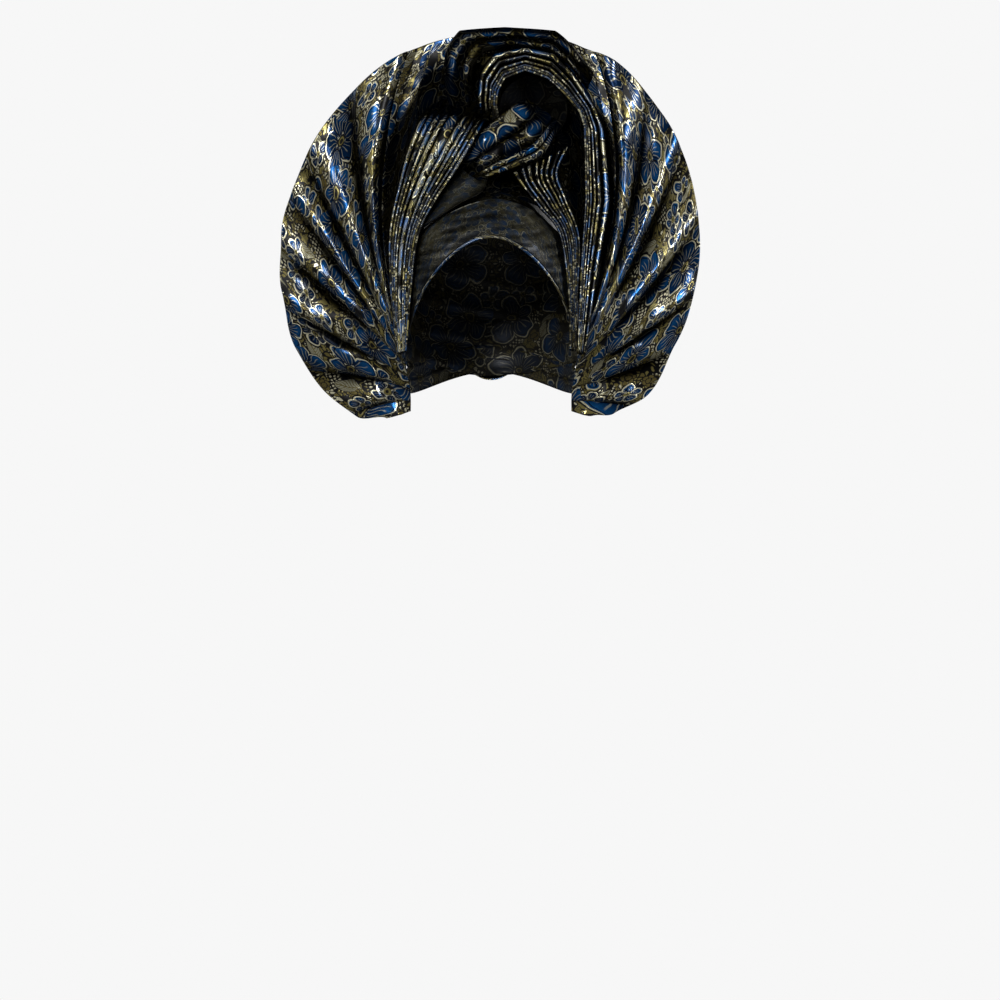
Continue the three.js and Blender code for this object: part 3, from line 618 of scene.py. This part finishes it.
def makeWrap():   # the fitted wrap from its opening to the crown, creased along the brow and lapped behind
    angle = np.linspace(0, 2 * np.pi, 221)[:, None]
    t = np.linspace(0, 1, 91)[None]
    low = openingZ(angle)
    z = mix(low, head["rise"], np.sin(t * np.pi / 2))
    hem = 0.9 * np.exp(-((z - low - 2.5) / 2)**2)
    band = smooth((z - low) / 12) * (1 - smooth((z - 60) / 30))
    crease = 0.5 * ripple(angle * 30, (z - low) * 3, 40, 9) * band
    back = smooth((-np.cos(angle) - 0.3) / 0.3) * (1 - smooth((z - 70) / 25))
    lap = ((z + 14 * np.sin(angle) + 60) / 26) % 1   # cloth wound round the back in slanting layers
    points = wrapPoint(angle, z, hem + crease + 2.4 * back * lap * smooth((1 - lap) / 0.12))
    paintedShadeUnder = smooth(5 * np.cos(angle)) * smooth((z - low - 6) / 6)   # painted shade under the band and the pleats
    # painted shade: darker at the foot of each lapped layer at the back
    depth = np.minimum(0.55, mix(0.55, 0.1 + 0.6 * lap, back)) * (1 - paintedShadeUnder)
    uvOf = plainCloth(points)
    return clothMesh("headWrap", points, np.zeros(220, int), uvOf, depth, wrapCloth, ring=True, pole=True)


browFold = dict(   # the edge rows are degrees round the head and the height of the upper edge
    edge=[(-66, 58), (-54, 65), (-35, 74), (-13, 81), (10, 83), (40, 75), (64, 54)],
    above=3, gap=0.8, ribs=2, ribHeight=0.8)


def makeBrow():   # a turned band from just above the opening up to its edge line, with two pressed ribs
    b = browFold
    edge = spline(np.array(b["edge"], float), np.linspace(0, len(b["edge"]) - 1, 181))
    t = np.linspace(0, 1, 61)[None]
    angle = np.radians(edge[:, :1])
    z = mix(openingZ(angle) + b["above"], edge[:, 1:], t)
    rib = 1 - np.abs(2 * ((t * b["ribs"]) % 1) - 1)
    crease = 0.35 * ripple(angle * 40 + z * 0.3, z * 5 - angle * 60, 45, 11)
    points = wrapPoint(angle, z, b["gap"] + wall + b["ribHeight"] * rib + crease)
    # painted highlight along the band's upper edge on the left
    paintedEdgeHighlight = 0.6 * smooth((t - 0.955) / 0.03) * smooth(0.5 - angle)
    # painted shade: lighter on the ribs, darker in the creases
    depth = mix(0.3, 0.5, rib) + np.clip(crease, -0.2, 0.08) + paintedEdgeHighlight
    return clothMesh("browFold", points, np.zeros(180, int), plainCloth(points), depth, bandCloth)


backTie = dict(start=112, end=248, endZ=-62, backZ=-42, half=17, ribs=3, ribHeight=2, gap=0.3)


def makeTie():   # a gathered band round the back of the head with three soft ribs
    b = backTie
    s = np.linspace(0, 1, 73)[:, None]
    degrees = np.linspace(b["start"], b["end"], 161)[None]
    middle = mix(b["backZ"], b["endZ"], smooth(np.abs(degrees - 180) / ((b["end"] - b["start"]) / 2)))
    z = middle + b["half"] * (2 * s - 1)
    rib = np.abs(np.sin(np.pi * s * b["ribs"]))**0.7
    points = wrapPoint(np.radians(degrees), z, b["gap"] + wall + b["ribHeight"] * rib)[::-1]
    # painted shade between the ribs, painted highlight on them
    depth = np.broadcast_to(rib, z.shape)
    return clothMesh("backTie", points, np.zeros(72, int), plainCloth(points), depth, pleatCloth)


backKnot = dict(halfTurn=17, halfHeight=24, depth=17, edge=3, waist=0.2, tieWall=1.2)


def makeKnot():   # a domed knot on the tie, pinched at its waist, with soft folds drawn into the middle
    b = backKnot
    u = np.linspace(-1, 1, 81)[:, None]
    v = np.linspace(-1, 1, 81)[None]
    seat = 2 * backTie["gap"] + b["tieWall"] + backTie["ribHeight"]
    degrees = 180 + b["halfTurn"] * u * (1 - b["waist"] * (1 - v**2)) * np.sqrt(1 - v**2 / 2)
    z = backTie["backZ"] + b["halfHeight"] * v * np.sqrt(1 - u**2 / 2)
    bulge = np.sqrt((1 - u**2) * (1 - v**2))
    crease = 0.9 * np.sin(u * 9 * (0.4 + np.abs(v))) * bulge
    out = b["edge"] * (bulge >= 1e-6) + (b["depth"] - b["edge"]) * bulge   # its border turns in to the tie
    points = wrapPoint(np.radians(degrees), z, seat + out + crease)
    # painted highlight: the pleat cloth's bright ridge tone over the knot's woven threads
    depth = np.full(points.shape[:2], 0.8)
    return clothMesh("backKnot", points, np.zeros(80, int), plainCloth(points), depth, pleatCloth)


pieces["rosette_cup"] = makeCup()
pieces["head_wrap"] = makeWrap()
pieces["brow_fold"] = makeBrow()
pieces["back_tie"] = makeTie()
pieces["back_knot"] = makeKnot()
print("wrap, cup, tie and knot made")

sheets = dict(   # slot, flat width and length and flat area in metres, how it is held, what it lies on
    head_wrap=("plain_weave", (0.30, 0.50), 0.067, "stretched", []),
    brow_fold=("plain_weave", (0.055, 0.20), 0.0096, "folded", ["head_wrap"]),
    left_wing=("brocade_wing", (0.20, 0.36), 0.052, "gathered", ["head_wrap"]),
    right_wing=("brocade_wing", (0.19, 0.35), 0.048, "gathered", ["head_wrap"]),
    left_pleats=("brocade_pleats", (0.15, 0.24), 0.032, "gathered", ["left_wing"]),
    right_pleats=("brocade_pleats", (0.07, 0.42), 0.028, "gathered", ["right_wing"]),
    inner_pleats=("brocade_pleats", (0.09, 0.19), 0.0148, "gathered", ["brow_fold", "right_pleats"]),
    under_fold=("plain_weave", (0.035, 0.09), 0.0024, "folded", ["left_pleats"]),
    crest_fold=("brocade_wing", (0.025, 0.27), 0.006, "folded", ["right_pleats"]),
    rosette_tongue=("brocade_wing", (0.06, 0.09), 0.005, "folded", ["under_fold"]),
    rosette_cup=("plain_weave", (0.062, 0.062), 0.0031, "folded", ["right_pleats"]),
    back_tie=("brocade_pleats", (0.042, 0.19), 0.0077, "folded", ["head_wrap"]),
    back_knot=("brocade_pleats", (0.055, 0.06), 0.0031, "folded", ["back_tie"]))
for node, (slot, flat, area, held, under) in sheets.items():
    piece = pieces[node]
    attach(piece, "root")
    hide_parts(node)

# studio: a wide pale floor, and soft boxes at the sides, in front and behind

studio = dict(floorZ=-0.62, reach=14, pale=0.93, air=0.03, paper=0.12)


def paleSight(tree, matte, glow, output):   # pale where the camera looks straight at it, dim in reflections
    put, calc, vec, step, below, blend = nodeTools(tree)
    seen = put("ShaderNodeLightPath").outputs["Is Camera Ray"]
    both = put("ShaderNodeMixShader", {0: seen, 1: put(*matte).outputs[0], 2: put(*glow).outputs[0]})
    tree.links.new(both.outputs[0], tree.nodes[output].inputs["Surface"])


def grey(name):
    return (studio[name], studio[name], studio[name], 1)


corners = np.array([(-1, -1), (1, -1), (1, 1), (-1, 1)]) * studio["reach"]
mesh = bpy.data.meshes.new("floor")
mesh.from_pydata([(x, y, studio["floorZ"]) for x, y in corners], [], [(0, 1, 2, 3)])
floor = bpy.data.objects.new("floor", mesh)
bpy.context.collection.objects.link(floor)
paper = bpy.data.materials.new("paperFloor")
paper.use_nodes = True
paleSight(paper.node_tree, ("ShaderNodeBsdfDiffuse", {"Color": grey("paper")}),
          ("ShaderNodeEmission", {"Color": grey("pale")}), "Material Output")
mesh.materials.append(paper)

world = bpy.data.worlds.new("studioAir")
world.use_nodes = True
paleSight(world.node_tree, ("ShaderNodeBackground", {"Color": grey("air")}),
          ("ShaderNodeBackground", {"Color": grey("pale")}), "World Output")
bpy.context.scene.world = world


lightAim = (0, 0, 0.05)   # the middle of the fan


def softBox(name, place, width, height, power):
    lamp = bpy.data.lights.new(name, "AREA")
    lamp.shape = "RECTANGLE"
    lamp.size, lamp.size_y = width, height
    lamp.energy = power
    box = bpy.data.objects.new(name, lamp)
    box.location = place
    box.rotation_euler = Vector(np.subtract(lightAim, place)).to_track_quat("-Z", "Y").to_euler()
    bpy.context.collection.objects.link(box)


softBox("softLeft", (-1.9, -1.3, 0.9), 0.7, 1.6, 30)
softBox("softRight", (2.0, -0.9, 0.5), 0.35, 1.5, 38)
softBox("front", (-0.8, -3.0, 1.2), 0.6, 0.6, 42)
softBox("backLeft", (-1.7, 2.2, 1.2), 0.8, 1.4, 26)
softBox("backRight", (1.5, 2.4, 0.9), 0.8, 1.4, 20)

bpy.context.scene.view_settings.view_transform = "Standard"

sight = dict(distance=5.0, across=0.85, x=0.00765, z=-0.170, sensor=36)   # metres seen across at the brow
lens = bpy.data.cameras.new("photoCamera")
lens.sensor_width = sight["sensor"]
lens.lens = sight["sensor"] * sight["distance"] / sight["across"]
camera = bpy.data.objects.new("photoCamera", lens)
camera.location = (sight["x"], -sight["distance"], sight["z"])
camera.rotation_euler = (np.pi / 2, 0, 0)
bpy.context.collection.objects.link(camera)
bpy.context.scene.camera = camera
print("studio made")
